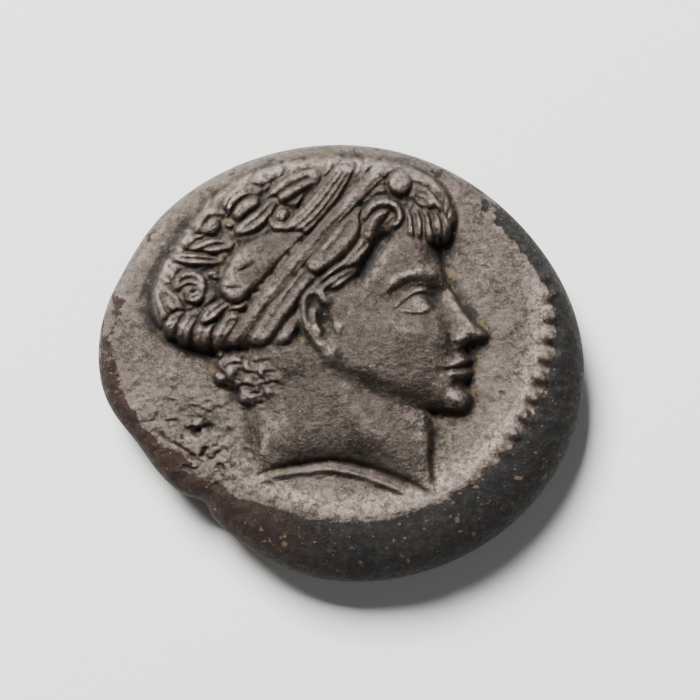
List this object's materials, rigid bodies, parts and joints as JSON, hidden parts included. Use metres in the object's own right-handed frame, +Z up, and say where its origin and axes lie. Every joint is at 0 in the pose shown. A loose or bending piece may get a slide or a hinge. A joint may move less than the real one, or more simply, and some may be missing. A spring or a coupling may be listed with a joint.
{
  "type": "ancient struck bronze coin",
  "caption": "Thick, uneven struck bronze coin with a head in profile in relief, part of a beaded ring, and a worn reverse that it lies on.",
  "frame": {"origin": "under the middle of the coin's outline, on the surface that it lies on", "axes": "+Z up, out of the side with the head; +X the way the head looks; +Y towards the head's crown"},
  "size_m": [0.0184, 0.0166, 0.0039],
  "materials": {
    "bronze": "worn dark brown bronze with a patina, pale metal on the high points and tan earth in the hollows"
  },
  "bodies": {
    "root": {"coin": "bronze"}
  },
  "joints": []
}
